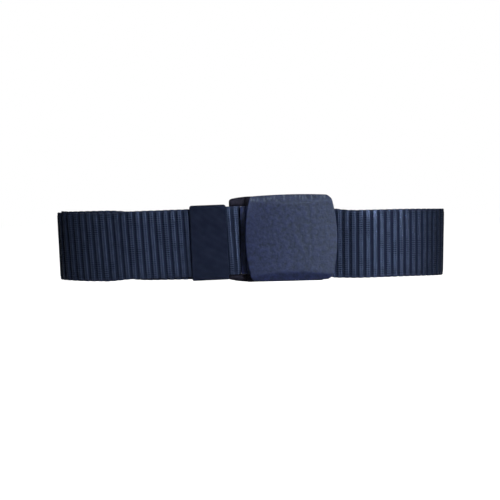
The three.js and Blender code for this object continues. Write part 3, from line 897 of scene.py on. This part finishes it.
framePlastic = mouldedPlastic(
    "frame plastic", dark=(0.004, 0.0045, 0.008), light=(0.013, 0.0125, 0.021),
    grain=0.5, roughness=0.5, shine=0.16, shineTint=(0.7, 0.68, 0.95),
)
# The lever's top edge gets the paler strokes: scuffs and a painted highlight
leverPlastic = mouldedPlastic(
    "lever plastic", dark=(0.001, 0.0025, 0.0225), light=(0.0095, 0.0135, 0.064),
    grain=0.7, roughness=0.5, shine=0.46, shineTint=(0.8, 0.98, 1.0), scuffAndSheenFrom=43.9,
)


# Solid helpers for the buckle
def looseSolid(bm):
    mesh = bpy.data.meshes.new("solid")
    bm.to_mesh(mesh)
    bm.free()
    solid = bpy.data.objects.new("solid", mesh)
    bpy.context.scene.collection.objects.link(solid)
    return solid


def combine(main, others, operation):
    for other in others:
        modifier = main.modifiers.new(operation, "BOOLEAN")
        modifier.operation = operation
        modifier.solver = "EXACT"
        modifier.object = other
    graph = bpy.context.evaluated_depsgraph_get()
    mesh = bpy.data.meshes.new_from_object(main.evaluated_get(graph))
    main.modifiers.clear()
    main.data = mesh
    for other in others:
        bpy.data.objects.remove(other)


def roundedRect(frontY, backY, lowZ, highZ, radii, x):
    # A ring across X; the radii are those of the low front, low back, high back and high front
    ring = []
    corners = [
        (frontY + radii[0], lowZ + radii[0], 180),
        (backY - radii[1], lowZ + radii[1], 270),
        (backY - radii[2], highZ - radii[2], 0),
        (frontY + radii[3], highZ - radii[3], 90),
    ]
    for (y, z, start), radius in zip(corners, radii):
        for degrees in (0, 22.5, 45, 67.5, 90):
            angle = math.radians(start + degrees)
            ring.append(toScene(x, y + radius * math.cos(angle), z + radius * math.sin(angle)))
    return ring


def pinRod(radius, low, high):
    bm = bmesh.new()
    bmesh.ops.create_cone(
        bm, cap_ends=True, segments=32, radius1=radius * mm, radius2=radius * mm, depth=(high - low) * mm,
    )
    middle = toScene(buckle["pivotX"], buckle["pivotY"], (low + high) / 2)
    bmesh.ops.translate(bm, verts=bm.verts, vec=middle)
    return bm


def bar(outline, low, high, softness=0):
    # A plan outline made a face, raised to its height and, if asked, softened along its edges
    bm = bmesh.new()
    verts = [bm.verts.new(toScene(x, y, low)) for x, y in outline]
    bmesh.ops.contextual_create(bm, geom=verts)
    raised = bmesh.ops.extrude_face_region(bm, geom=bm.faces[:])
    tops = [item for item in raised["geom"] if isinstance(item, bmesh.types.BMVert)]
    bmesh.ops.translate(bm, verts=tops, vec=(0, 0, (high - low) * mm))
    bmesh.ops.recalc_face_normals(bm, faces=bm.faces)
    if softness:
        sharp = [edge for edge in bm.edges if edge.calc_face_angle(0) > math.radians(40)]
        bmesh.ops.bevel(
            bm, geom=sharp, offset=softness * mm, offset_type="OFFSET", affect="EDGES",
            segments=3, profile=0.5, material=-1, clamp_overlap=True,
        )
    return bm


def roundBar(sizes):
    # The plan outline of a flat bar with half-round ends
    radius = (sizes["back"] - sizes["front"]) / 2
    middle = (sizes["back"] + sizes["front"]) / 2
    outline = []
    for centre, start in ((sizes["right"] - radius, -90), (sizes["left"] + radius, 90)):
        for degrees in range(0, 181, 15):
            angle = math.radians(start + degrees)
            outline.append((centre + radius * math.cos(angle), middle + radius * math.sin(angle)))
    return outline


def armMesh(upper):
    # The low or the high arm; outerZ is how far its outer edge stays inside the frame's height
    left, right, edge = buckle["left"], buckle["right"], buckle["edgeRound"]
    left -= 0 if upper else buckle["lowArmExtra"]
    corner = buckle["highArmCorner"] if upper else buckle["lowArmCorner"]
    fallStart, fallRadius = buckle["fallStart"], buckle["fallRadius"]
    cornerStart = left + corner
    drop = fallRadius - math.sqrt(fallRadius ** 2 - (fallStart - cornerStart) ** 2)
    thick = buckle["highArm"] if upper else buckle["lowArm"]
    pivotX, pivotY, ear = buckle["pivotX"], buckle["pivotY"], buckle["earRadius"]
    earStart = pivotX - math.sqrt(ear ** 2 - (buckle["leftArmFront"] - pivotY) ** 2)
    endRound, footRound, headRound = buckle["armRounds"]
    frontStep, leastHeight, roundShare = 0.5, 0.5, 0.45

    def outerZ(x):
        if x > right - endRound:
            return endRound - math.sqrt(max(endRound ** 2 - (x - right + endRound) ** 2, 0))
        if x >= fallStart:
            return 0
        if x >= cornerStart:
            return fallRadius - math.sqrt(fallRadius ** 2 - (fallStart - x) ** 2)
        share = min((cornerStart - x) / corner, 1)
        return drop + corner * (1 - math.sqrt(1 - share ** 2))

    def frontY(x):
        if x < left + headRound:
            away = left + headRound - x
            return buckle["leftArmFront"] + headRound - math.sqrt(max(headRound ** 2 - away ** 2, 0))
        if x <= earStart:
            return buckle["leftArmFront"]
        if x < pivotX:
            return pivotY - math.sqrt(max(ear ** 2 - (x - pivotX) ** 2, 0))
        if x > right - headRound:
            away = x - right + headRound
            return buckle["front"] + headRound - math.sqrt(max(headRound ** 2 - away ** 2, 0))
        return mix(pivotY - ear, buckle["front"], min((x - pivotX) / frontStep, 1))

    def backY(x):
        if x < left + footRound:
            away = left + footRound - x
            return buckle["back"] - footRound + math.sqrt(max(footRound ** 2 - away ** 2, 0))
        return buckle["back"]

    # Places of the rings, closest where the arm is rounded
    thin = buckle["thinArmStart"]
    places = [left + away for away in (0.02, 0.1, 0.25, 0.5, 0.8, 1.2, 1.6, 2.2, 3.2, 4.5, 6, 7.6, 8.8)]
    places += [earStart - 0.01]
    places += [mix(earStart, pivotX, 1 - math.cos(math.pi / 2 * k / 7)) for k in range(1, 8)]
    places += [pivotX + frontStep, 5, 15, thin - 0.01, thin, 33]
    places += [right - away for away in (1.8, 1.4, 1.0, 0.65, 0.35, 0.15, 0.03)]
    rings = []
    for x in places:
        low = outerZ(x)
        high = thick if x < thin else max(buckle["thinArm"], low + leastHeight)
        most = min(high - low, backY(x) - frontY(x)) * roundShare
        nearEar = smoothStep(x, earStart - 2, earStart)
        radii = [min(edge, most)] * 4
        slotSide, outerSide = (0, 3) if upper else (3, 0)
        radii[slotSide] = min(mix(buckle["slotRound"], edge, nearEar), most)
        radii[outerSide] = min(mix(buckle["outerRound"], edge, nearEar), most)
        if upper:
            low, high = buckle["height"] - high, buckle["height"] - low
        rings.append(roundedRect(frontY(x), backY(x), low, high, radii, x))
    return skinned(rings)


def frameSolid():
    top, sunk = buckle["height"], buckle["barSunk"]
    low, high = buckle["lowArm"] - sunk, top - buckle["highArm"] + sunk
    plate = buckle["plate"]
    left, right, front, back = plate["left"], plate["right"], plate["front"], plate["back"]
    plateOutline = [(left, front), (right, front), (right, back), (left, back)]
    main = looseSolid(armMesh(False))
    parts = [
        armMesh(True),
        bar(roundBar(webbing["gripBar"]), low, high),
        bar(roundBar(webbing["endBar"]), sunk, top - sunk),
        bar(plateOutline, low, high, plate["edge"]),
    ]
    combine(main, [looseSolid(part) for part in parts], "UNION")
    # The pin holes stop at a closed wall outside
    radius, wall = buckle["pinHoleRadius"], buckle["pinHoleWall"]
    pastLow, pastHigh = buckle["pinHolePast"]
    holes = [
        pinRod(radius, wall, buckle["lowArm"] + pastLow),
        pinRod(radius, top - buckle["highArm"] - pastHigh, top - wall),
    ]
    combine(main, [looseSolid(hole) for hole in holes], "DIFFERENCE")
    return main


buckleFrame = frameSolid()
buckleFrame.name = "frame"
finishPiece(buckleFrame, framePlastic, "belt", "buckle_frame", sharpDegrees=35)


# Lever: the bulged cover with a flat bevel along both long edges, and the cam behind it
cover = {
    "middleX": 22.15,
    "low": 0.05,
    "width": 51.0,
    "height": 48.0,
    "sideRadius": 92.0,
    "edgeRadius": 450.0,
    "leftCorner": 1.8,
    "rightCorner": 3.0,
    "back": -8.65,
    "sideFace": -11.2,
    "middleFace": -12.3,
    "bevelEdge": -10.1,
    "bevelSlope": 24.0,
    "creaseBlend": 0.12,
    "creaseLift": 0.02,
    "rimRound": 0.55,
    "backRound": 0.3,
}
camSizes = {
    "reach": 5.1,
    "noseStart": 176,
    "noseEnd": 163,
    "heel": (-2.9, -0.7),
    "boss": 2.2,
    "rootLeft": -1.7,
    "rootRight": 4.2,
    "rootSunk": 0.4,
    "play": 0.03,
}


def coverPlace(u, v):
    # A point of the barrel outline's inside, and its distance to the rim
    halfW, halfH = cover["width"] / 2, cover["height"] / 2
    side, edge = cover["sideRadius"], cover["edgeRadius"]
    width = math.sqrt(side ** 2 - (v * halfH) ** 2) - (side - halfW)
    height = math.sqrt(edge ** 2 - (u * halfW) ** 2) - (edge - halfH)
    x, z = u * width, v * height
    fromSide, fromEdge = width - abs(x), height - abs(z)
    corner = cover["leftCorner"] if u < 0 else cover["rightCorner"]
    rim = min(fromSide, fromEdge)
    if fromSide < corner and fromEdge < corner:
        a, b = 1 - fromSide / corner, 1 - fromEdge / corner
        roundA, roundB = a * math.sqrt(1 - b * b / 2), b * math.sqrt(1 - a * a / 2)
        x = math.copysign(width - corner + corner * roundA, x)
        z = math.copysign(height - corner + corner * roundB, z)
        rim = corner * (1 - min(math.hypot(roundA, roundB), 1))
    return x, z, rim


def coverFace(x, z):
    # Front Y of the cover: the bulge and the two bevels, blended where they meet
    half = cover["width"] / 2
    crown = cover["sideFace"] - cover["middleFace"]
    radius = (half ** 2 + crown ** 2) / (2 * crown)
    bulge = cover["middleFace"] + radius - math.sqrt(radius ** 2 - x ** 2)
    fromEdge = cover["height"] / 2 - abs(z)
    bevel = cover["bevelEdge"] - math.tan(math.radians(cover["bevelSlope"])) * fromEdge
    apart = bulge - bevel
    blended = (bulge + bevel + math.sqrt(apart ** 2 + cover["creaseBlend"] ** 2)) / 2
    return blended - cover["creaseLift"]


def coverMesh():
    # Grid lines at these distances from the rim, closest where the face is rounded or creased
    near = [0.0, 0.05, 0.15, 0.3, 0.5, 0.8, 1.2, 1.8, 2.4, 3.0, 3.6, 4.2, 4.8, 5.6]
    near += [7, 9, 11.5, 14.5, 18, 21.5]
    halfW, halfH = cover["width"] / 2, cover["height"] / 2

    def gridLines(half):
        lines = [1 - away / half for away in near if away < half - 1]
        return [-line for line in lines] + [0.0] + lines[::-1]

    us, vs = gridLines(halfW), gridLines(halfH)
    bm = bmesh.new()
    bmesh.ops.create_grid(bm, x_segments=len(us) - 1, y_segments=len(vs) - 1, size=1)
    middleZ = cover["low"] + halfH
    curve = cover["rimRound"]
    for vert in bm.verts:
        u = us[round((vert.co.x + 1) / 2 * (len(us) - 1))]
        v = vs[round((vert.co.y + 1) / 2 * (len(vs) - 1))]
        x, z, rim = coverPlace(u, v)
        fall = curve - math.sqrt(max(curve ** 2 - max(curve - rim, 0) ** 2, 0))
        vert.co = toScene(x + cover["middleX"], coverFace(x, z) + fall, z + middleZ)
    middle = toScene(cover["middleX"], 0, middleZ)
    backRound = cover["backRound"]
    for away, shrink in ((backRound, 0.0), (0.3 * backRound, 0.3 * backRound), (0.0, backRound)):
        depth = cover["back"] - away
        rims = [edge for edge in bm.edges if edge.is_boundary]
        made = bmesh.ops.extrude_edge_only(bm, edges=rims)
        for vert in [item for item in made["geom"] if isinstance(item, bmesh.types.BMVert)]:
            vert.co.y = toScene(0, depth, 0).y
            vert.co.x -= math.copysign(shrink * mm, vert.co.x - middle.x)
            vert.co.z -= math.copysign(shrink * mm, vert.co.z - middle.z)
    rims = [edge for edge in bm.edges if edge.is_boundary]
    bmesh.ops.holes_fill(bm, edges=rims, sides=0)
    bmesh.ops.recalc_face_normals(bm, faces=bm.faces)
    return bm


def camOutline():
    # Seen from above, about the pins: the boss round them, the nose that presses the strap, the heel
    plateBack = cover["back"] - buckle["pivotY"] - camSizes["rootSunk"]

    def onCircle(radius, degrees):
        return (radius * math.cos(math.radians(degrees)), radius * math.sin(math.radians(degrees)))

    points = [(camSizes["rootRight"], plateBack)]
    points += [onCircle(camSizes["boss"], degrees) for degrees in range(0, 121, 12)]
    for k in range(5):
        points.append(onCircle(camSizes["reach"], mix(camSizes["noseEnd"], camSizes["noseStart"], k / 4)))
    points += [camSizes["heel"], (camSizes["rootLeft"], plateBack)]
    return [(x + buckle["pivotX"], y + buckle["pivotY"]) for x, y in points]


def leverSolid():
    gap, top = camSizes["play"], buckle["height"]
    main = looseSolid(coverMesh())
    others = [
        bar(camOutline(), buckle["lowArm"] + gap, top - buckle["highArm"] - gap),
        pinRod(buckle["pinRadius"], buckle["pinHoleWall"] + gap, top - buckle["pinHoleWall"] - gap),
    ]
    combine(main, [looseSolid(part) for part in others], "UNION")
    return main


buckleLever = leverSolid()
buckleLever.name = "lever"
finishPiece(buckleLever, leverPlastic, "lever", "buckle_lever", sharpDegrees=35)


# Floor, lights and surroundings: a white room that itself gives little light. The narrow beams
# shape the tone along the front, and the back light shows the hidden sides. Distances, the
# floor's size and the lights' sizes are metres, the aims are millimetres.
studio = {
    "floorSize": 12.0,
    "floorTone": 0.5,
    "floorGlow": 1.0,
    "roomTone": 1.0,
    "roomLight": 0.02,
}
softboxes = {
    "key": {
        "azimuth": 30, "elevation": 18, "distance": 0.7, "size": (0.12, 0.3),
        "power": 15, "spread": 21, "aimX": -7,
    },
    "side key": {
        "azimuth": 53, "elevation": 18, "distance": 0.7, "size": (0.05, 0.3),
        "power": 52, "spread": 4.8, "aimX": 76,
    },
    "top light": {
        "azimuth": 35, "elevation": 50, "distance": 1.1, "size": (0.5, 0.5),
        "power": 12, "spread": 32, "aimX": 10,
    },
    "arm light": {
        "azimuth": -30, "elevation": 18, "distance": 0.6, "size": (0.02, 0.02),
        "power": 18, "spread": 1.0, "aimX": -2, "aimZ": 44,
    },
    "fill": {
        "azimuth": -42, "elevation": 12, "distance": 0.5, "size": (0.06, 0.2),
        "power": 0.9, "spread": 9, "aimX": -108,
    },
    "back": {"azimuth": 165, "elevation": 50, "distance": 2.2, "size": (2.0, 1.4), "power": 12},
}


def seenOrNot(tree, unseen, seen):
    # One strength for what the camera sees as background, another for the light that it gives
    cameraRay = addNode(tree, "ShaderNodeLightPath").outputs["Is Camera Ray"]
    return addNode(tree, "ShaderNodeMapRange", None, {
        "Value": cameraRay, "To Min": unseen, "To Max": seen,
    }).outputs[0]


def addFloor():
    bm = bmesh.new()
    bmesh.ops.create_grid(bm, x_segments=1, y_segments=1, size=studio["floorSize"] / 2)
    mesh = bpy.data.meshes.new("floor")
    bm.to_mesh(mesh)
    bm.free()
    floor = bpy.data.objects.new("floor", mesh)
    bpy.context.scene.collection.objects.link(floor)
    material, tree, shader = newMaterial("pale floor")
    shader.inputs["Base Color"].default_value = (*grey(studio["floorTone"]), 1)
    shader.inputs["Roughness"].default_value = 0.9
    shader.inputs["Specular IOR Level"].default_value = 0.1
    shader.inputs["Emission Color"].default_value = (1, 1, 1, 1)
    tree.links.new(seenOrNot(tree, 0.0, studio["floorGlow"]), shader.inputs["Emission Strength"])
    mesh.materials.append(material)


def addSoftbox(name, azimuth, elevation, distance, size, power, spread=180, aimX=0, aimZ=22):
    # A grid narrows the spread; the power is set so that the middle stays as bright as without it
    light = bpy.data.lights.new(name, "AREA")
    light.shape = "RECTANGLE"
    light.size, light.size_y = size
    light.spread = math.radians(spread)
    light.energy = power * (1 - light.spread / 2 / math.tan(light.spread / 2))
    lamp = bpy.data.objects.new(name, light)
    bpy.context.scene.collection.objects.link(lamp)
    a, e = math.radians(azimuth), math.radians(elevation)
    toward = Vector((math.sin(a) * math.cos(e), -math.cos(a) * math.cos(e), math.sin(e)))
    aim = toScene(aimX, 0, aimZ)
    lamp.location = aim + toward * distance
    lamp.rotation_euler = toward.to_track_quat("Z", "Y").to_euler()
    lamp.visible_camera = False


def addSurround():
    world = bpy.data.worlds.new("studio")
    bpy.context.scene.world = world
    world.use_nodes = True
    tree = world.node_tree
    background = tree.nodes["Background"]
    background.inputs["Color"].default_value = (1, 1, 1, 1)
    strength = seenOrNot(tree, studio["roomLight"], studio["roomTone"])
    tree.links.new(strength, background.inputs["Strength"])


addFloor()
for name, box in softboxes.items():
    addSoftbox(name, **box)
addSurround()
print("studio lit")
